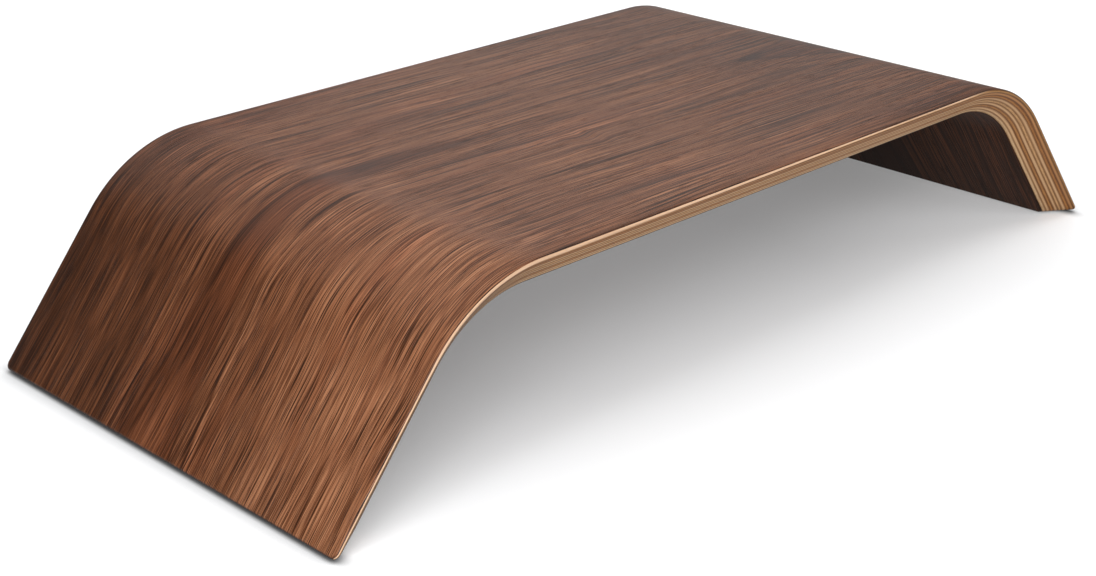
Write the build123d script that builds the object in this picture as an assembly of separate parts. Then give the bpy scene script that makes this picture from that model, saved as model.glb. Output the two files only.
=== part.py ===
from build123d import *
import math
import os

# Monitor riser pressed from one sheet of plywood: a flat deck on two splayed legs.
#
# The sheet is laid up flat from thin plies, bent in a press, and then trimmed. The model
# follows that order: one bent and trimmed blank is made first, and each ply is the slice
# of the blank that lies between two offsets of its outer face.
#
# Frame: X along the deck, Y from front to back, Z up. The origin is on the desk, under the
# middle of the deck. All sizes are in millimetres.

# Driving dimensions of the bent sheet
LENGTH = 520.0            # over the outer edges of the two feet
DEPTH = 236.0             # front to back, over the eased edges
HEIGHT = 92.0             # desk to deck
THICKNESS = 14.2          # the whole sheet
LEG_ANGLE = 50.7          # degrees between a leg and the desk
BEND_RADIUS = 75.0        # outer face of each bend
EDGE_SET_BACK = 12.6      # the long edges lean in by this much from the deck to the underside
OUTER_EASING = 1.1        # radius where the long edges meet the outer face
INNER_EASING = 0.5        # radius where the long edges meet the inner face
FOOT_CORNER = 3.0         # radius where the long edges meet the cut of the feet

# Lay-up, from the outer face to the inner face
FACE_VENEER = 0.5         # walnut, on both faces
CORE_PLIES = 9            # cross-grain and long-grain plies in turn, cross-grain first

# Non-slip pads stuck under the feet
PAD_THICKNESS = 1.0
PAD_WIDTH = 11.0
PAD_LENGTH = 34.0
PAD_SPACING = 150.0       # between the centres of the front and the rear pad
PAD_CORNER = 5.0
PAD_EASING = 0.3

# Worked out from the above
CORE_PLY = (THICKNESS - 2 * FACE_VENEER) / CORE_PLIES
LEG_SLOPE = math.radians(LEG_ANGLE)
FOOT_WIDTH = THICKNESS / math.sin(LEG_SLOPE)
EDGE_CORNER = math.atan2(THICKNESS, EDGE_SET_BACK)
OVERRUN = 30.0            # how far a tool body runs past the sheet


def eased_away(corner_angle):
    """How far easing a corner of the outer face moves its tip back along the face."""
    return OUTER_EASING / math.tan(corner_angle / 2) - OUTER_EASING


SHARP_DEPTH = DEPTH + 2 * eased_away(EDGE_CORNER)
SHARP_LENGTH = LENGTH + 2 * eased_away(LEG_SLOPE)
OUTER_CORNER_X = SHARP_LENGTH / 2 - (HEIGHT - PAD_THICKNESS) / math.tan(LEG_SLOPE)
BEND_START_X = OUTER_CORNER_X - BEND_RADIUS * math.tan(LEG_SLOPE / 2)


def edge_section():
    """Cross-section of the sheet at mid-length: deck at the top, long edges leaning in."""
    outer = SHARP_DEPTH / 2
    inner = outer - EDGE_SET_BACK
    corners = [(-inner, -THICKNESS), (inner, -THICKNESS), (outer, 0), (-outer, 0)]
    return Polygon(*corners, align=None)


def half_blank():
    """Right half of the bent sheet, from the middle of the deck to below the desk."""
    across = Plane(origin=(0, 0, HEIGHT), x_dir=(0, 1, 0), z_dir=(1, 0, 0))
    section = across * edge_section()
    deck = extrude(section, BEND_START_X)
    bend_axis = Axis((BEND_START_X, 0, HEIGHT - BEND_RADIUS), (0, 1, 0))
    section_at_bend = Pos(BEND_START_X, 0, 0) * section
    bend = revolve(section_at_bend, bend_axis, LEG_ANGLE)
    section_at_leg = section_at_bend.rotate(bend_axis, LEG_ANGLE)
    down_the_leg = (math.cos(LEG_SLOPE), 0, -math.sin(LEG_SLOPE))
    leg = extrude(section_at_leg, HEIGHT / math.sin(LEG_SLOPE) + OVERRUN, dir=down_the_leg)
    return deck + bend + leg


def blank():
    """The whole bent sheet, with its feet cut flat and their corners rounded."""
    right = half_blank()
    sheet = right + mirror(right, about=Plane.YZ)
    below_feet = Pos(0, 0, PAD_THICKNESS - HEIGHT) * Box(2 * LENGTH, 2 * DEPTH, 2 * HEIGHT)
    sheet -= below_feet
    sheet = fillet(foot_corner_edges(sheet), FOOT_CORNER)
    sheet = fillet(face_outline(sheet, top_face=True), OUTER_EASING)
    return fillet(face_outline(sheet, top_face=False), INNER_EASING)


def foot_corner_edges(sheet):
    """The four straight edges where the long edges of the sheet meet the cut feet."""
    foot_level = sheet.edges().filter_by_position(
        Axis.Z, PAD_THICKNESS - 0.01, PAD_THICKNESS + 0.01
    )
    return foot_level.filter_by(Axis.Y, reverse=True)


def face_outline(sheet, top_face):
    """The edges all round the deck side of the sheet, or all round its underside."""
    level = HEIGHT if top_face else HEIGHT - THICKNESS
    flat = sheet.faces().filter_by(Axis.Z).filter_by_position(Axis.Z, level - 0.01, level + 0.01)
    return flat.edges().filter_by(Axis.X)


def outline(offset):
    """Side view of everything at or below one offset of the sheet's outer face."""
    corner_x = OUTER_CORNER_X - offset * math.tan(LEG_SLOPE / 2)
    corner_z = HEIGHT - offset
    foot_x = corner_x + (corner_z + OVERRUN) / math.tan(LEG_SLOPE)
    corners = [(-foot_x, -OVERRUN), (foot_x, -OVERRUN), (corner_x, corner_z), (-corner_x, corner_z)]
    side = Polygon(*corners, align=None)
    return fillet(side.vertices().group_by(Axis.Y)[-1], BEND_RADIUS - offset)


def layer(sheet, outer_offset, inner_offset):
    """The slice of the sheet between two offsets of its outer face."""
    band = outline(outer_offset) - outline(inner_offset)
    side_view = Plane(origin=(0, DEPTH, 0), x_dir=(1, 0, 0), z_dir=(0, -1, 0))
    return sheet & extrude(side_view * band, 2 * DEPTH)


def lay_up(sheet):
    """Every layer by name, from the outer walnut to the inner walnut."""
    layers = {"walnut_face_outer": layer(sheet, 0, FACE_VENEER)}
    for number in range(CORE_PLIES):
        start = FACE_VENEER + number * CORE_PLY
        layers[f"core_ply_{number + 1}"] = layer(sheet, start, start + CORE_PLY)
    layers["walnut_face_inner"] = layer(sheet, THICKNESS - FACE_VENEER, THICKNESS)
    return layers


def foot_pads():
    """Four thin pads with rounded corners, two under each foot."""
    plan = RectangleRounded(PAD_WIDTH, PAD_LENGTH, PAD_CORNER)
    pad = extrude(plan, PAD_THICKNESS)
    pad = fillet(pad.faces().sort_by(Axis.Z)[0].edges(), PAD_EASING)
    pads = {}
    for side, x_sign in (("left", -1), ("right", 1)):
        for end, y_sign in (("front", -1), ("rear", 1)):
            place = Pos(x_sign * (SHARP_LENGTH - FOOT_WIDTH) / 2, y_sign * PAD_SPACING / 2, 0)
            pads[f"foot_pad_{side}_{end}"] = place * pad
    return pads


os.makedirs("parts", exist_ok=True)
nodes = {**lay_up(blank()), **foot_pads()}
for name, solid in nodes.items():
    export_step(solid, f"parts/{name}.step")
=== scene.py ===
"""Looks of the bent plywood monitor riser: its veneers, plies, pads, floor, lights and camera.

Everything is in metres, in the frame of the CAD model: X along the deck, Y from front to
back, Z up, with the origin on the desk under the middle of the deck.

The sheet is described by three numbers at every point: the distance along it from the middle
of the deck, the distance across it from the middle line, and the depth below its outer face.
Each layer is built in those numbers and then bent into place, and the same three numbers
drive the wood materials, so the grain follows the bends.
"""
import math
import bpy
from mathutils import Matrix, Vector


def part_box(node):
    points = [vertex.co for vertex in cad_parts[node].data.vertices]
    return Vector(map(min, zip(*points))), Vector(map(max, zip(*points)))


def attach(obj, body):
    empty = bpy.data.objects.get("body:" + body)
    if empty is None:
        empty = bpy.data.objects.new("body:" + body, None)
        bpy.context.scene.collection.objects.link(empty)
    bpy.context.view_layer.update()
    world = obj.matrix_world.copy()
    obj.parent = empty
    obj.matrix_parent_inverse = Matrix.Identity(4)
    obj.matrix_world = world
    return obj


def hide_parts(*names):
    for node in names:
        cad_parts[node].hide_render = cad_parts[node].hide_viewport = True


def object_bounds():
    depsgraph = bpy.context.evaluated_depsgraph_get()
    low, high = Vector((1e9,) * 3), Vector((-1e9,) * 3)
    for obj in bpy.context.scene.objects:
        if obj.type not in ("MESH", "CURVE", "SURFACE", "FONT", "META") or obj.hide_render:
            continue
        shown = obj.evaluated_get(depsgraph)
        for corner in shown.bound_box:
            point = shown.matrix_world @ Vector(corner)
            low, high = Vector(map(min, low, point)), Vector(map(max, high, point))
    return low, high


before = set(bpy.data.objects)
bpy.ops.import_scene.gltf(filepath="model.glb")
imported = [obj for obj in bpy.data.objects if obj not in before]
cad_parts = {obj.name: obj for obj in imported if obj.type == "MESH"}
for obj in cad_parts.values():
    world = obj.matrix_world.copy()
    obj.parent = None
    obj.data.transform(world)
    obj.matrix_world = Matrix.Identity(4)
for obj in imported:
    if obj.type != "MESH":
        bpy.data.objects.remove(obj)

cad_low, cad_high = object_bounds()
MM = 0.001

# The sheet, as in the CAD model
LEG_SLOPE = math.radians(50.7)
BEND_RADIUS = 75.0 * MM
EDGE_SET_BACK = 12.6 * MM
OUTER_EASING = 1.1 * MM
INNER_EASING = 0.5 * MM
FOOT_CORNER = 3.0 * MM
CORE_PLIES = [f"core_ply_{number}" for number in range(1, 10)]
LAYERS = ["walnut_face_outer", *CORE_PLIES, "walnut_face_inner"]
PADS = [f"foot_pad_{side}_{end}" for side in ("left", "right") for end in ("front", "rear")]

# Read from the frame
HEIGHT = cad_high.z
FOOT_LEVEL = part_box("core_ply_5")[0].z
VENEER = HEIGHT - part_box("core_ply_1")[1].z
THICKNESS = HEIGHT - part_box("walnut_face_inner")[1].z + VENEER


def tip_loss(corner):
    """How far easing a corner of the outer face moves its tip back along the face."""
    return OUTER_EASING / math.tan(corner / 2) - OUTER_EASING


# Worked out from the above. A lean is how much an edge moves inward per unit of depth.
EDGE_LEAN = EDGE_SET_BACK / THICKNESS
FOOT_LEAN = 1 / math.tan(LEG_SLOPE)
SHARP_HALF_DEPTH = cad_high.y + tip_loss(math.atan(1 / EDGE_LEAN))
SHARP_HALF_LENGTH = cad_high.x + tip_loss(LEG_SLOPE)
OUTER_CORNER_X = SHARP_HALF_LENGTH - (HEIGHT - FOOT_LEVEL) / math.tan(LEG_SLOPE)
DECK_HALF = OUTER_CORNER_X - BEND_RADIUS * math.tan(LEG_SLOPE / 2)
BEND_END = DECK_HALF + BEND_RADIUS * LEG_SLOPE
LEG_FALL = HEIGHT - BEND_RADIUS * (1 - math.cos(LEG_SLOPE)) - FOOT_LEVEL
SHARP_END = BEND_END + LEG_FALL / math.sin(LEG_SLOPE)

# How finely the layers are divided
DECK_STEPS = 36
BEND_STEPS = 30
LEG_STEPS = 10
CORNER_STEPS = 6
EASING_STEPS = 7
FACE_COLUMNS = 20
PLY_COLUMNS = 4

# Small unevenness of a real lay-up
PLY_WANDER = 0.10 * MM      # how far a glue line wanders up and down
GLUE_GROOVE = 0.045 * MM    # how deep the glue line lies below the trimmed edge
GROOVE_WIDTH = 0.08 * MM
EASING_END = 1.8 * MM       # depth by which the outer easing is over


# ---------------------------------------------------------------- shape of the sheet

def bent(along, across, depth):
    """The place in space of a point of the sheet."""
    side = math.copysign(1.0, along)
    turn = min(max((abs(along) - DECK_HALF) / BEND_RADIUS, 0.0), LEG_SLOPE)
    down_leg = max(abs(along) - BEND_END, 0.0)
    reach = min(abs(along), DECK_HALF) + (BEND_RADIUS - depth) * math.sin(turn)
    rise = HEIGHT - BEND_RADIUS + (BEND_RADIUS - depth) * math.cos(turn)
    return Vector((
        side * (reach + down_leg * math.cos(LEG_SLOPE)),
        across,
        rise - down_leg * math.sin(LEG_SLOPE),
    ))


def retreat(depth, lean):
    """How far the trimmed and eased edge lies inside the sharp outline at a depth."""
    corner = math.atan(1 / lean)
    outer_centre = OUTER_EASING / math.tan(corner / 2)
    if depth < outer_centre * math.sin(corner):
        drop = OUTER_EASING - depth
        return outer_centre - math.sqrt(max(OUTER_EASING**2 - drop**2, 0.0))
    inner_reach = INNER_EASING * math.tan(corner / 2)
    if depth > THICKNESS - inner_reach * math.sin(corner):
        drop = depth - (THICKNESS - INNER_EASING)
        inner_centre = lean * THICKNESS + inner_reach
        return inner_centre - math.sqrt(max(INNER_EASING**2 - drop**2, 0.0))
    return lean * depth


def stations(end):
    """Places along one half of the sheet, from the middle to its end, dense where it turns."""
    corner_start = end - FOOT_CORNER
    places = [DECK_HALF * step / (DECK_STEPS / 2) for step in range(DECK_STEPS // 2)]
    places += [DECK_HALF + (BEND_END - DECK_HALF) * step / BEND_STEPS for step in range(BEND_STEPS)]
    places += [BEND_END + (corner_start - BEND_END) * step / LEG_STEPS for step in range(LEG_STEPS)]
    turn = math.pi / 2 / CORNER_STEPS
    places += [corner_start + FOOT_CORNER * math.sin(turn * step) for step in range(CORNER_STEPS + 1)]
    return places


def half_width(along, end, side_edge):
    """Half the width of the sheet at a place along it, narrowing round the foot's corners."""
    into_corner = max(abs(along) - (end - FOOT_CORNER), 0.0)
    rounding = FOOT_CORNER - math.sqrt(max(FOOT_CORNER**2 - into_corner**2, 0.0))
    return side_edge - rounding


def wander(boundary, part):
    """How far the glue line at a boundary strays in depth; part runs from -1 to 1 along the sheet."""
    if boundary in (0, len(LAYERS)):
        return 0.0
    slow = math.sin(5.3 * part + 1.9 * boundary)
    quick = math.sin(17.0 * part + 4.1 * boundary)
    return PLY_WANDER * (0.7 * slow + 0.3 * quick)


def depth_levels(top, bottom):
    """Depths from one face of a layer to the other, with the groove lips, and finely over an easing."""
    levels = [top + GROOVE_WIDTH, bottom - GROOVE_WIDTH]
    for step in range(1, EASING_STEPS + 1):
        share = 1 - math.cos(math.pi / 2 * step / EASING_STEPS)
        levels.append(EASING_END * share)
        levels.append(THICKNESS - INNER_EASING * share)
    inside = [level for level in levels if top + GROOVE_WIDTH <= level <= bottom - GROOVE_WIDTH]
    return sorted({round(level, 7) for level in [top, bottom, *inside]})


def outline_of(rows):
    """The points of a grid that lie on its rim, in order."""
    front = [row[0] for row in rows]
    right = list(rows[-1][1:])
    back = [row[-1] for row in reversed(rows[:-1])]
    left = list(reversed(rows[0][1:-1]))
    return front + right + back + left


def layer_piece(index, columns):
    """One layer of the sheet as a closed mesh: its two faces, joined all round their outline."""
    top, bottom = BOUNDARIES[index], BOUNDARIES[index + 1]
    points, places, faces = [], [], []

    def add_point(level, number, column):
        share = (level - top) / (bottom - top)
        part = number / STATION_COUNT
        stray = (1 - share) * wander(index, part) + share * wander(index + 1, part)
        depth = min(max(level + stray, 0.0), THICKNESS)
        glue_line = (level == top and index > 0) or (level == bottom and index < len(LAYERS) - 1)
        groove = GLUE_GROOVE if glue_line else 0.0
        end = SHARP_END - retreat(depth, FOOT_LEAN) - groove
        along = math.copysign(stations(end)[abs(number)], number)
        side_edge = SHARP_HALF_DEPTH - retreat(depth, EDGE_LEAN) - groove
        across = (2 * column / columns - 1) * half_width(along, end, side_edge)
        points.append(bent(along, across, depth))
        places.append((along, across, depth))
        return len(points) - 1

    spots = [
        [(number, column) for column in range(columns + 1)]
        for number in range(-STATION_COUNT, STATION_COUNT + 1)
    ]

    def grid(level):
        return [[add_point(level, number, column) for number, column in row] for row in spots]

    def rim(level):
        return [add_point(level, number, column) for number, column in outline_of(spots)]

    levels = depth_levels(top, bottom)
    outer_grid = grid(top)
    inner_grid = grid(bottom)
    for rows, flip in ((outer_grid, False), (inner_grid, True)):
        for one, two in zip(rows, rows[1:]):
            for a, b, c, d in zip(one, two, two[1:], one[1:]):
                faces.append((d, c, b, a) if flip else (a, b, c, d))
    rims = [outline_of(outer_grid), *[rim(level) for level in levels[1:-1]], outline_of(inner_grid)]
    for upper, lower in zip(rims, rims[1:]):
        count = len(upper)
        for spot in range(count):
            after = (spot + 1) % count
            faces.append((upper[spot], lower[spot], lower[after], upper[after]))
    return finished_piece(LAYERS[index] + "_shown", points, places, faces)


def finished_piece(name, points, places, faces):
    """A smooth mesh object, which also holds where each of its points is in the sheet."""
    mesh = bpy.data.meshes.new(name)
    mesh.from_pydata(points, [], faces)
    place = mesh.attributes.new("sheet_place", "FLOAT_VECTOR", "POINT")
    place.data.foreach_set("vector", [number for spot in places for number in spot])
    mesh.shade_smooth()
    mesh.set_sharp_from_angle(angle=math.radians(32))
    mesh.validate()
    piece = bpy.data.objects.new(name, mesh)
    bpy.context.scene.collection.objects.link(piece)
    return piece


# ---------------------------------------------------------------- material helper

class Pattern:
    """Adds and joins the nodes of one material, so that each step of a pattern is one line.

    A place in the sheet has three numbers in millimetres: along it, across it and down into it.
    """

    def __init__(self, name):
        self.material = bpy.data.materials.new(name)
        self.material.use_nodes = True
        self.tree = self.material.node_tree
        self.tree.nodes.clear()
        self.shader = self.add("ShaderNodeBsdfPrincipled")
        output = self.add("ShaderNodeOutputMaterial")
        self.join(self.shader.outputs[0], output.inputs["Surface"])

    def add(self, kind, inputs=None, **settings):
        """A new node with its settings, whose inputs are each a number or another node's output."""
        node = self.tree.nodes.new(kind)
        for key, value in settings.items():
            setattr(node, key, value)
        for key, value in (inputs or {}).items():
            self.join(value, node.inputs[key])
        return node

    def join(self, value, socket):
        if isinstance(value, bpy.types.NodeSocket):
            self.tree.links.new(value, socket)
        else:
            socket.default_value = value

    def sheet_place(self):
        """Where a point is in the sheet."""
        metres = self.add("ShaderNodeAttribute", attribute_name="sheet_place").outputs["Vector"]
        return self.add("ShaderNodeVectorMath", {0: metres, 3: 1 / MM}, operation="SCALE").outputs[0]

    def math(self, operation, first, second=0.0, third=0.0):
        inputs = {0: first, 1: second, 2: third}
        return self.add("ShaderNodeMath", inputs, operation=operation).outputs[0]

    def total(self, *values):
        result = values[0]
        for value in values[1:]:
            result = self.math("ADD", result, value)
        return result

    def product(self, *values):
        result = values[0]
        for value in values[1:]:
            result = self.math("MULTIPLY", result, value)
        return result

    def parts(self, vector):
        return self.add("ShaderNodeSeparateXYZ", {0: vector}).outputs

    def point(self, x, y, z=0.0):
        return self.add("ShaderNodeCombineXYZ", {0: x, 1: y, 2: z}).outputs[0]

    def noise(self, place, size, seed, detail=2.0, roughness=0.5):
        """Noise whose features have this size in millimetres along, across and through the sheet."""
        inputs = {0: place, 1: [1 / length for length in size], 2: (seed, seed, seed)}
        stretched = self.add("ShaderNodeVectorMath", inputs, operation="MULTIPLY_ADD").outputs[0]
        settings = {"Vector": stretched, "Scale": 1.0, "Detail": detail, "Roughness": roughness}
        return self.add("ShaderNodeTexNoise", settings).outputs[0]

    def remap(self, value, low, high, to_low=0.0, to_high=1.0, kind="SMOOTHSTEP"):
        """A value that runs from to_low to to_high while the given one runs from low to high."""
        inputs = {0: value, 1: low, 2: high, 3: to_low, 4: to_high}
        return self.add("ShaderNodeMapRange", inputs, interpolation_type=kind).outputs[0]

    def spread(self, value, reach):
        """A noise turned into a signed amount, about -reach to +reach."""
        return self.remap(value, 0.2, 0.8, -reach, reach, kind="LINEAR")

    def line(self, value, middle, width):
        """1 on a line where the value has its middle, 0 beyond the line's width."""
        away = self.math("ABSOLUTE", self.math("SUBTRACT", value, middle))
        return self.remap(away, 0.0, width, 1.0, 0.0)

    def spot(self, place, middle, size):
        """1 at the middle of an oval spot, 0 outside it."""
        inputs = {0: place, 1: [-length for length in middle]}
        away = self.add("ShaderNodeVectorMath", inputs, operation="ADD").outputs[0]
        inputs = {0: away, 1: [1 / length for length in size]}
        away = self.add("ShaderNodeVectorMath", inputs, operation="MULTIPLY").outputs[0]
        length = self.add("ShaderNodeVectorMath", {0: away}, operation="LENGTH").outputs["Value"]
        return self.remap(length, 0.0, 1.0, 1.0, 0.0)

    def curve(self, value, stops):
        """A smooth curve through a few stops, in order, each a place and a height from 0 to 1."""
        low, high = stops[0][0], stops[-1][0]
        node = self.add("ShaderNodeFloatCurve", {"Value": self.remap(value, low, high, kind="LINEAR")})
        points = node.mapping.curves[0].points
        for _ in stops[2:]:
            points.new(0.5, 0.5)
        for point, (place, height) in zip(points, stops):
            point.location = ((place - low) / (high - low), height)
        node.mapping.update()
        return node.outputs[0]

    def blend(self, factor, first, second, mode="MIX"):
        inputs = {0: factor, 6: first, 7: second}
        return self.add("ShaderNodeMix", inputs, data_type="RGBA", blend_type=mode).outputs[2]

    def ramp(self, value, stops):
        """A colour from a few stops, in order, each a place from 0 to 1 and a colour."""
        node = self.add("ShaderNodeValToRGB", {0: value})
        elements = node.color_ramp.elements
        for _ in stops[2:]:
            elements.new(0.5)
        for element, (position, colour) in zip(elements, stops):
            element.position = position
            element.color = (*colour, 1)
        return node.outputs[0]

    def bump(self, height, distance):
        inputs = {"Height": height, "Distance": distance, "Strength": 1.0}
        self.join(self.add("ShaderNodeBump", inputs).outputs[0], self.shader.inputs["Normal"])

    def set(self, **values):
        for key, value in values.items():
            self.join(value, self.shader.inputs[key.replace("_", " ")])


# ---------------------------------------------------------------- materials
# In the patterns below, places and sizes are in millimetres, and a tone runs from 0, the darkest
# wood, to 1, the lightest.

PLY_MM = (THICKNESS - 2 * VENEER) / len(CORE_PLIES) / MM
FOOT_CUT_MM = (SHARP_END - THICKNESS / math.tan(LEG_SLOPE)) / MM   # where the cut of the feet begins
# Painted shade on the cut under the feet, which faces the floor
FOOT_UNDERSIDE_SHADE = (0.022, 0.011, 0.006, 1)
# Painted highlight where the light catches the eased outer edge
EDGE_HIGHLIGHT_WOOD = (0.60, 0.39, 0.25, 1)
# Painted shade for the trimmed ply edges down the left leg
LEG_EDGE_SHADE = (0.45, 0.42, 0.40, 1)
PLY_RELIEF = 0.05 * MM
PEBBLE_RELIEF = 0.08 * MM

# Walnut from its darkest to its lightest, each about 1.6 times as bright as the one before
WALNUT = [
    (0.00, (0.014, 0.004, 0.001)),
    (0.20, (0.033, 0.010, 0.003)),
    (0.40, (0.069, 0.022, 0.007)),
    (0.60, (0.128, 0.044, 0.018)),
    (0.80, (0.220, 0.088, 0.040)),
    (1.00, (0.360, 0.170, 0.088)),
]
HEART_RADIUS = 40.0     # mm, the growth ring round the heart figure
RING_WIDTH = 4.2        # mm
SLICE_LOW = 29.0        # mm, the least distance from the veneer's plane to the middle of the log
SLICE_HIGH = 41.0       # mm, the greatest
HEART_SWING = 20.0      # mm, how far the heart line may stray either way from the middle line
RED_TINT = (1.06, 0.86, 0.80, 1)
GREY_TINT = (0.92, 0.97, 1.12, 1)
WALNUT_RELIEF = 0.06 * MM


def wavering_grain(wood, place, knot, seed):
    """Each place of the sheet as a place in the log, whose grain wavers and dips at a pin knot."""
    along, across, depth = wood.parts(place)
    drift = wood.spread(wood.noise(place, (190, 70, 100), seed, detail=1.0), 3.5)
    waver = wood.spread(wood.noise(place, (45, 18, 100), seed + 7, detail=1.0), 0.8)
    dip = wood.product(wood.spot(place, (knot[0], knot[1] + 4, 0), (12, 16, 40)), 3.0)
    return wood.point(along, wood.total(across, drift, waver, dip), depth)


def log_radius(wood, along, across, face):
    """The distance from the middle of the log, from how the veneer was sliced through it."""
    slice_share = wood.curve(along, face["slice"])
    slice_depth = wood.remap(slice_share, 0, 1, SLICE_LOW, SLICE_HIGH, kind="LINEAR")
    heart_share = wood.curve(along, face["heart"])
    heart_place = wood.remap(heart_share, 0, 1, -HEART_SWING, HEART_SWING, kind="LINEAR")
    from_heart = wood.math("SUBTRACT", across, heart_place)
    squares = wood.total(wood.product(from_heart, from_heart), wood.product(slice_depth, slice_depth))
    return wood.math("SQRT", squares)


def ring_lines(wood, flow, radius, face):
    """Growth rings that each end in a thin dark line, with a strength of their own, and dark veins."""
    seed = face["seed"]
    uneven = wood.noise(wood.point(radius, 0.0), (9, 1, 1), seed + 3, detail=0.0)
    ring = wood.math("MULTIPLY_ADD", radius, 1 / RING_WIDTH, uneven)
    phase = wood.math("FRACT", ring)
    ring_number = wood.math("FLOOR", ring)
    chance = wood.add("ShaderNodeTexWhiteNoise", {"W": ring_number}, noise_dimensions="1D")
    strength = wood.remap(chance.outputs["Value"], 0, 1, 0.30, 1.0)
    patches = wood.remap(wood.noise(flow, (130, 10, 100), seed + 11), 0.38, 0.62, 0.35, 1.0)
    ring_end = wood.remap(phase, 0.95, 1.0, 1.0, 0.0)
    line = wood.product(wood.remap(phase, 0.76, 0.92), ring_end, 0.24)
    fade = wood.product(wood.remap(phase, 0.10, 0.93), ring_end, 0.13)
    along, across, _ = wood.parts(flow)
    away_from_heart = wood.remap(along, -110, -160, 0.9, 0.45)
    clearness = wood.remap(radius, HEART_RADIUS, HEART_RADIUS + 16, 1.3, away_from_heart)
    rings = wood.product(wood.total(line, fade), strength, patches, clearness)
    for vein in face["veins"]:
        vein_line = wood.product(wood.line(across, vein, 0.9), patches, 0.30)
        rings = wood.math("MAXIMUM", rings, vein_line)
    return rings


def growth_streaks(wood, along, across, radius, seed):
    """Wide bands, stripes and thin streaks that follow the growth rings, bolder toward the back."""
    growth = wood.point(along, radius)
    bolder_behind = wood.remap(across, -90, 80, 0.5, 1.1)
    bands = wood.spread(wood.noise(growth, (700, 20, 1), seed + 17, detail=1.0), 0.14)
    stripes = wood.spread(wood.noise(growth, (400, 7, 1), seed + 19, detail=1.0), 0.06)
    streaks = wood.spread(wood.noise(growth, (260, 2.2, 1), seed + 23, detail=1.0, roughness=0.7), 0.10)
    return wood.total(wood.product(wood.total(bands, streaks), bolder_behind), stripes)


def fibre_noise(wood, flow, along, seed):
    """Fine fibres along the log, short on the left leg and longer over the rest of the sheet."""
    short = wood.noise(flow, (38, 0.36, 100), seed + 29, detail=1.5, roughness=0.7)
    long = wood.noise(flow, (95, 0.36, 100), seed + 53, detail=1.5, roughness=0.7)
    return wood.total(
        wood.product(short, wood.remap(along, -160, -90, 1.0, 0.0)),
        wood.product(long, wood.remap(along, -160, -90, 0.0, 1.0)),
    )


def open_pores(wood, flow, seed):
    """Long dark hairlines and short dark pores, crowded in some stretches and sparse in others."""
    hairs = wood.remap(wood.noise(flow, (120, 0.55, 100), seed + 43, detail=1.0), 0.56, 0.70)
    pores = wood.remap(wood.noise(flow, (12, 0.40, 100), seed + 37, detail=1.0), 0.58, 0.69)
    crowd = wood.remap(wood.noise(flow, (120, 11, 100), seed + 41, detail=1.0), 0.35, 0.65, 0.35, 1.0)
    return wood.product(wood.math("MAXIMUM", wood.product(hairs, 0.7), pores), crowd)


def painted_veneer_shade(wood, along, across, leg_painted_shade):
    """Painted light and shade on the left leg: darker from the bend down, painted shade deepest at its
    rear and painted light at its front, and the left bend a little lighter than the deck. The wood is
    also a little darker toward the right.
    """
    # Painted light at the front of the left leg and painted shade at its rear
    rear_shade = wood.remap(across, -90, 100, leg_painted_shade, -leg_painted_shade, kind="LINEAR")
    front_shade = wood.remap(across, -80, 20, -0.055, 0.0)
    return wood.total(
        wood.product(wood.remap(along, -95, -235), rear_shade),
        wood.product(wood.remap(along, -100, -150), front_shade),
        # Painted shade down the left leg, with the left bend painted a little lighter than the deck
        wood.remap(along, -170, -225, 0.0, -0.12),
        wood.remap(along, -150, -120, 0.0, -0.045),
        wood.remap(along, 0, 120, 0.0, -0.11),
    )


def local_marks(wood, place, depth, face):
    """The pin knot, a few dark clouds, and the darker edge where the veneer was trimmed."""
    knot = face["knot"]
    knot_dark = wood.spot(place, (*knot, 0), (5.5, 1.3, 40))
    knot_light = wood.spot(place, (knot[0] + 4.5, knot[1] - 1.6, 0), (4.5, 1.2, 40))
    inside = wood.math("ABSOLUTE", wood.math("SUBTRACT", depth, face["free_face"]))
    trimmed = wood.remap(inside, 0.04, 0.25)
    cloud = 0.0
    for middle, size in face["clouds"]:
        cloud = wood.math("MAXIMUM", cloud, wood.spot(place, middle, size))
    return wood.total(
        wood.product(knot_dark, -0.18), wood.product(knot_light, 0.10),
        wood.product(trimmed, -0.22), wood.product(cloud, -0.07),
    )


def walnut_hue(wood, colour, flow, along, heart, seed):
    """Red in the heart, and greyer and redder stretches elsewhere."""
    red_stretch = wood.remap(wood.noise(flow, (200, 26, 100), seed + 31), 0.5, 0.7)
    redness = wood.math("MAXIMUM", heart, red_stretch)
    colour = wood.blend(wood.product(redness, 0.35), colour, RED_TINT, mode="MULTIPLY")
    grey_stretch = wood.remap(wood.noise(flow, (240, 20, 100), seed + 33), 0.45, 0.70)
    greyness = wood.product(grey_stretch, wood.remap(along, -150, -200, 1.0, 0.0))
    return wood.blend(wood.product(greyness, 0.3), colour, GREY_TINT, mode="MULTIPLY")


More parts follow.
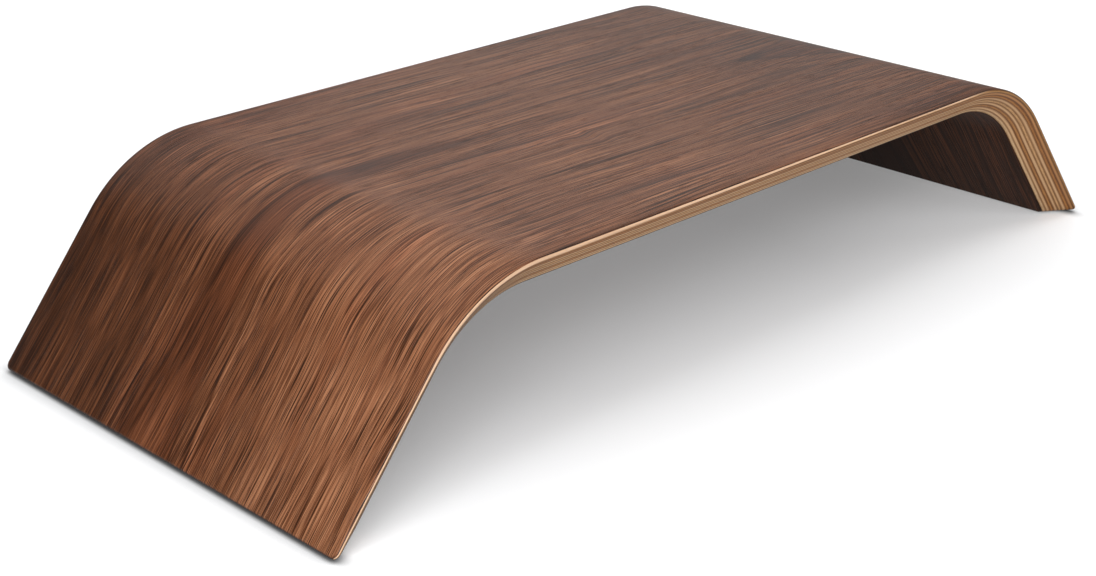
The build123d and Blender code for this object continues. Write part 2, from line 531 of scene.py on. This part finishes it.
def walnut(name, face):
    """Crown-cut walnut: growth rings round a heart, streaks, fine fibres and short dark pores."""
    wood = Pattern(name)
    seed = face["seed"]
    place = wood.sheet_place()
    flow = wavering_grain(wood, place, face["knot"], seed)
    along, across, depth = wood.parts(flow)
    radius = log_radius(wood, along, across, face)
    heart = wood.remap(radius, HEART_RADIUS - 0.6, HEART_RADIUS, 1.0, 0.0)
    rim = wood.line(radius, HEART_RADIUS - 0.1, 0.45)
    fibres = fibre_noise(wood, flow, along, seed)
    open_grain = wood.product(open_pores(wood, flow, seed), wood.remap(heart, 0, 1, 1.0, 0.6))
    coarseness = wood.product(wood.remap(along, -60, -190, 2.5, 2.2), wood.remap(heart, 0, 1, 1.0, 0.7))

    tone = wood.total(
        face["tone"],
        growth_streaks(wood, along, across, radius, seed),
        wood.product(ring_lines(wood, flow, radius, face), -1.0),
        wood.product(wood.remap(fibres, 0.22, 0.62, -0.42, 0.12), coarseness),
        wood.product(open_grain, -0.34),
        wood.product(heart, -0.06),
        wood.product(rim, -0.07),
        painted_veneer_shade(wood, along, across, face["leg_painted_shade"]),
        local_marks(wood, place, depth, face),
    )
    colour = walnut_hue(wood, wood.ramp(tone, WALNUT), flow, along, heart, seed)
    smoother_leg = wood.remap(along, -130, -190, 0.42, 0.34)
    roughness = wood.total(smoother_leg, wood.product(fibres, 0.06), wood.product(open_grain, 0.12))
    wood.set(Base_Color=colour, Roughness=roughness, IOR=face["lacquer_ior"])
    wood.bump(wood.math("SUBTRACT", wood.product(fibres, 0.5), open_grain), WALNUT_RELIEF)
    return wood.material


def ply_grain(wood, place, normal, along_grain, seed):
    """The fibres of a ply where they run past its trimmed edge, and specks where they end there."""
    if along_grain:
        ends = wood.remap(wood.math("MULTIPLY", normal[2], -1.0), 0.80, 0.95)
        streaks = wood.noise(place, (60, 3, 0.28), seed, detail=3.0, roughness=0.6)
    else:
        ends = wood.remap(wood.math("ABSOLUTE", normal[1]), 0.25, 0.50)
        streaks = wood.noise(place, (6, 60, 0.35), seed, detail=3.0, roughness=0.6)
    specks = wood.noise(place, (0.7, 0.7, 0.22), seed + 9, detail=1.0)
    return streaks, wood.product(ends, wood.remap(specks, 0.45, 0.65), 0.30)


def edge_light_and_shade(wood, colour, place, normal, wide):
    """Painted shade on the ply edges down the left leg, a painted highlight along the eased edge, and
    painted shade on the cut under the feet.
    """
    along, _, depth = wood.parts(place)
    # Painted shade: the ply edges are drawn darker down the left leg
    colour = wood.blend(wood.remap(along, -120, -215), colour, LEG_EDGE_SHADE, mode="MULTIPLY")

    # The painted highlight band is widest round the left bend, and it ends before the right bend is
    # over
    reach = wood.total(wood.remap(along, 100, -150, 1.1, 2.2), wood.remap(along, -180, -235, 0.0, -1.2))
    edge_highlight = wood.product(
        wood.remap(wood.math("SUBTRACT", depth, reach), -0.2, 0.2, 1.0, 0.0),
        wood.remap(wide, 0.3, 0.6, 0.7, 1.0),
        wood.remap(along, 135, 165, 1.0, 0.0),
    )
    colour = wood.blend(edge_highlight, colour, EDGE_HIGHLIGHT_WOOD)

    # Painted shade on the cut faces under the feet
    near_foot = wood.remap(wood.math("ABSOLUTE", along), FOOT_CUT_MM - 2, FOOT_CUT_MM)
    faces_end = wood.remap(wood.math("ABSOLUTE", normal[1]), 0.35, 0.50, 1.0, 0.0)
    return wood.blend(wood.product(near_foot, faces_end), colour, FOOT_UNDERSIDE_SHADE)


def ply_edge(name, along_grain, light, dark, middle, seed):
    """The trimmed edge of one core ply, lightest at the middle of its thickness."""
    wood = Pattern(name)
    place = wood.sheet_place()
    along, _, depth = wood.parts(place)
    normal = wood.parts(wood.add("ShaderNodeNewGeometry").outputs["Normal"])
    streaks, specks = ply_grain(wood, place, normal, along_grain, seed)
    wide = wood.noise(place, (70, 110, 1.1), seed + 5)
    core = wood.spread(wood.line(depth, middle, 0.5 * PLY_MM), 0.46)
    clearer_on_deck = wood.remap(wood.math("ABSOLUTE", along), 110, 160, 1.6, 1.0)
    tone = wood.total(
        0.55,
        wood.product(core, clearer_on_deck),
        wood.spread(streaks, 0.50),
        wood.spread(wide, 0.40),
        wood.product(specks, -1.0),
    )
    colour = wood.ramp(tone, [(0.0, dark), (1.0, light)])
    wood.set(Base_Color=edge_light_and_shade(wood, colour, place, normal, wide), IOR=1.26)
    wood.set(Roughness=wood.remap(streaks, 0.3, 0.7, 0.48, 0.60, kind="LINEAR"))
    wood.bump(wood.math("SUBTRACT", streaks, specks), PLY_RELIEF)
    return wood.material


def pad_rubber():
    """Matte black non-slip rubber with a fine pebbled face."""
    rubber = Pattern("pad_rubber")
    metres = rubber.add("ShaderNodeTexCoord").outputs["Object"]
    place = rubber.add("ShaderNodeVectorMath", {0: metres, 3: 1 / MM}, operation="SCALE").outputs[0]
    pebbles = rubber.add("ShaderNodeTexVoronoi", {"Vector": place, "Scale": 1.4}).outputs["Distance"]
    dust = rubber.noise(place, (6, 6, 6), 0.0, detail=3.0)
    colour = rubber.ramp(dust, [(0.25, (0.012, 0.012, 0.013)), (0.80, (0.032, 0.031, 0.030))])
    rubber.set(Base_Color=colour, Roughness=rubber.remap(pebbles, 0.0, 0.8, 0.62, 0.85), IOR=1.5)
    rubber.bump(pebbles, PEBBLE_RELIEF)
    return rubber.material


# ---------------------------------------------------------------- floor, lights and camera

FLOOR_REACH = 6.0
FLOOR_WHITE = (0.75, 0.755, 0.765)
CONTACT_REACH = 0.014       # how far round a foot the painted contact shadow on the floor reaches
CONTACT_POWER = 1.9


def floor_paint():
    """Pale paint that glows a little, more so far out, with a painted contact shadow just outside the
    feet.
    """
    paint = Pattern("pale_floor")
    place = paint.add("ShaderNodeTexCoord").outputs["Object"]
    from_middle = paint.add("ShaderNodeVectorMath", {0: place}, operation="LENGTH").outputs["Value"]
    glow = paint.remap(from_middle, 0.12, 0.9, 0.14, 0.60, kind="LINEAR")
    openness = paint.add("ShaderNodeAmbientOcclusion", {"Distance": CONTACT_REACH}).outputs["AO"]
    shadow = paint.math("SUBTRACT", paint.math("POWER", openness, CONTACT_POWER), 1.0)
    sideways = paint.math("ABSOLUTE", paint.parts(place)[0])
    outside = paint.remap(sideways, cad_high.x - 0.010, cad_high.x)
    # Painted contact shadow: the floor's colour and glow are darkened just outside the feet
    contact_shadow_factor = paint.math("MULTIPLY_ADD", outside, shadow, 1.0)
    white = paint.add("ShaderNodeVectorMath", {0: FLOOR_WHITE, 3: contact_shadow_factor}, operation="SCALE").outputs[0]
    paint.set(Base_Color=white, Roughness=0.9, Specular_IOR_Level=0.1)
    paint.set(Emission_Color=(1, 1, 1, 1), Emission_Strength=paint.product(contact_shadow_factor, glow))
    return paint.material


def floor_sheet():
    """A plain pale floor, lit a little from below like a light table."""
    mesh = bpy.data.meshes.new("studio_floor")
    corners = [(-1, -1), (1, -1), (1, 1), (-1, 1)]
    mesh.from_pydata([(x * FLOOR_REACH, y * FLOOR_REACH, 0) for x, y in corners], [], [(0, 1, 2, 3)])
    mesh.materials.append(floor_paint())
    floor = bpy.data.objects.new("studio_floor", mesh)
    bpy.context.scene.collection.objects.link(floor)


def soft_light(name, place, target, width, height, power):
    """A white soft box at a place, turned to face a target. The power is in watts."""
    data = bpy.data.lights.new(name, "AREA")
    data.shape = "RECTANGLE"
    data.size, data.size_y = width, height
    data.energy = power
    lamp = bpy.data.objects.new(name, data)
    lamp.location = place
    lamp.rotation_euler = (Vector(target) - Vector(place)).to_track_quat("-Z", "Y").to_euler()
    bpy.context.scene.collection.objects.link(lamp)


def studio_lights():
    """Dim white surroundings, a big soft box overhead, and smaller ones all round it."""
    world = bpy.data.worlds.new("studio")
    bpy.context.scene.world = world
    world.use_nodes = True
    background = world.node_tree.nodes["Background"]
    background.inputs["Color"].default_value = (1, 1, 1, 1)
    background.inputs["Strength"].default_value = 0.15
    soft_light("overhead_box", (0.0, 0.2, 1.8), (0, 0, 0), 2.0, 1.6, 17.5)
    soft_light("front_left_box", (-1.1, -1.1, 0.9), (0, 0, 0.05), 0.8, 0.8, 16.0)
    soft_light("left_lamp", (-0.85, -0.35, 0.55), (-0.2, -0.05, 0.05), 0.4, 0.4, 4.0)
    soft_light("rear_box", (0.1, 1.7, 1.25), (0, 0, 0.05), 1.6, 0.8, 4.2)
    soft_light("rear_right_box", (1.4, 1.3, 0.8), (0, 0, 0.05), 1.2, 0.8, 4.0)
    soft_light("right_box", (1.3, -0.5, 1.3), (0, 0, 0.05), 1.0, 1.0, 7.5)
    soft_light("front_box", (0.45, -1.6, 0.9), (0.05, 0, 0.05), 1.2, 0.8, 6.6)


EYE_PLACE = (-0.6257, -0.5982, 0.3655)
EYE_TURN = math.radians(44.79)      # to the right of straight back
EYE_DOWN = math.radians(23.03)      # below level
EYE_ROLL = math.radians(-0.15)
SENSOR_WIDTH = 36.0                 # mm, as is the lens
LENS = 61.65


def camera():
    """The camera, by where it stands and how it is turned."""
    data = bpy.data.cameras.new("camera")
    data.sensor_width = SENSOR_WIDTH
    data.lens = LENS
    eye = bpy.data.objects.new("camera", data)
    bpy.context.scene.collection.objects.link(eye)
    level_ahead = Vector((math.sin(EYE_TURN), math.cos(EYE_TURN), 0))
    ahead = math.cos(EYE_DOWN) * level_ahead - math.sin(EYE_DOWN) * Vector((0, 0, 1))
    level = Vector((math.cos(EYE_TURN), -math.sin(EYE_TURN), 0))
    upright = level.cross(ahead)
    right = math.cos(EYE_ROLL) * level + math.sin(EYE_ROLL) * upright
    up = math.cos(EYE_ROLL) * upright - math.sin(EYE_ROLL) * level
    facing = Matrix((right, up, -ahead)).transposed()
    eye.matrix_world = Matrix.Translation(EYE_PLACE) @ facing.to_4x4()
    bpy.context.scene.camera = eye


# ---------------------------------------------------------------- putting it together

# How deep each layer begins, and the depth of the inner face
BOUNDARIES = [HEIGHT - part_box(name)[1].z for name in LAYERS] + [THICKNESS]
STATION_COUNT = len(stations(SHARP_END)) - 1

# Each walnut face. Its slice and heart say how it was cut from the log: its distance from the
# middle of the log and its heart line's place across the sheet, as places along the sheet with a
# share of the range. The free face is the depth of the side that shows. The leg painted shade is
# how much painted light lightens the front of the left leg and painted shade darkens its rear.
OUTER_FACE = {
    "slice": [
        (-300, 0.55), (-225, 0.79), (-155, 0.84), (-22, 0.917),
        (98, 0.917), (145, 0.70), (175, 0.45), (300, 0.1),
    ],
    "heart": [
        (-300, 0.68), (-150, 0.74), (-90, 0.68), (-20, 0.55),
        (98, 0.59), (170, 0.38), (300, 0.50),
    ],
    "knot": (-36, -35),
    "veins": [-76, 45],
    "clouds": [((-70, 5, 0), (48, 6, 40)), ((-25, 2, 0), (14, 5, 40))],
    "tone": 0.65,
    # painted light at the front and painted shade at the rear of the left leg
    "leg_painted_shade": 0.24,
    "free_face": 0.0,
    "lacquer_ior": 1.28,
    "seed": 3.0,
}
INNER_FACE = {
    "slice": [(-300, 0.25), (-150, 0.70), (-60, 0.93), (30, 0.90), (170, 0.65), (300, 0.35)],
    "heart": [(-300, 0.20), (0, 0.10), (300, 0.30)],
    "knot": (92, 44),
    "veins": [60],
    "clouds": [],
    # Much darker than the outer face: painted shade, for the inner face lies in shade under the deck
    # and inside the legs
    "tone": 0.29,
    "leg_painted_shade": 0.0,
    "free_face": THICKNESS / MM,
    "lacquer_ior": 1.16,
    "seed": 83.0,
}

# Each core ply's light and dark wood, from the outer face to the inner face
HONEY = ((0.27, 0.130, 0.040), (0.09, 0.036, 0.009))
CHESTNUT = ((0.31, 0.145, 0.052), (0.11, 0.042, 0.013))
BROWN = ((0.27, 0.112, 0.030), (0.10, 0.034, 0.008))
PALE = ((0.40, 0.24, 0.122), (0.17, 0.078, 0.030))
OAK = ((0.40, 0.225, 0.100), (0.14, 0.062, 0.020))
RUSSET = ((0.29, 0.130, 0.040), (0.11, 0.040, 0.010))
TAN = ((0.42, 0.27, 0.145), (0.20, 0.11, 0.05))
PLY_TONES = [HONEY, CHESTNUT, BROWN, PALE, OAK, PALE, RUSSET, PALE, TAN]


def dress_layers():
    """Makes every layer of the sheet, gives it its wood, and puts it in place of its CAD node."""
    outer = walnut("walnut_outer", OUTER_FACE)
    # The inner face's walnut is the same wood drawn darker, as painted shade
    inner = walnut("walnut_inner_painted_shade", INNER_FACE)
    for index, node in enumerate(LAYERS):
        is_face = node.startswith("walnut")
        piece = layer_piece(index, FACE_COLUMNS if is_face else PLY_COLUMNS)
        if is_face:
            material = outer if index == 0 else inner
        else:
            along_grain = index % 2 == 0
            light, dark = PLY_TONES[index - 1]
            middle = (BOUNDARIES[index] + BOUNDARIES[index + 1]) / 2 / MM
            material = ply_edge(node + "_wood", along_grain, light, dark, middle, 10.0 * index)
        piece.data.materials.append(material)
        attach(piece, "root")
        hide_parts(node)


def dress_pads():
    """The CAD pads keep their shape and get their rubber."""
    rubber = pad_rubber()
    for name in PADS:
        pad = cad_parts[name]
        pad.data.materials.clear()
        pad.data.materials.append(rubber)


dress_layers()
dress_pads()
floor_sheet()
studio_lights()
camera()
bpy.context.scene.view_settings.view_transform = "Standard"
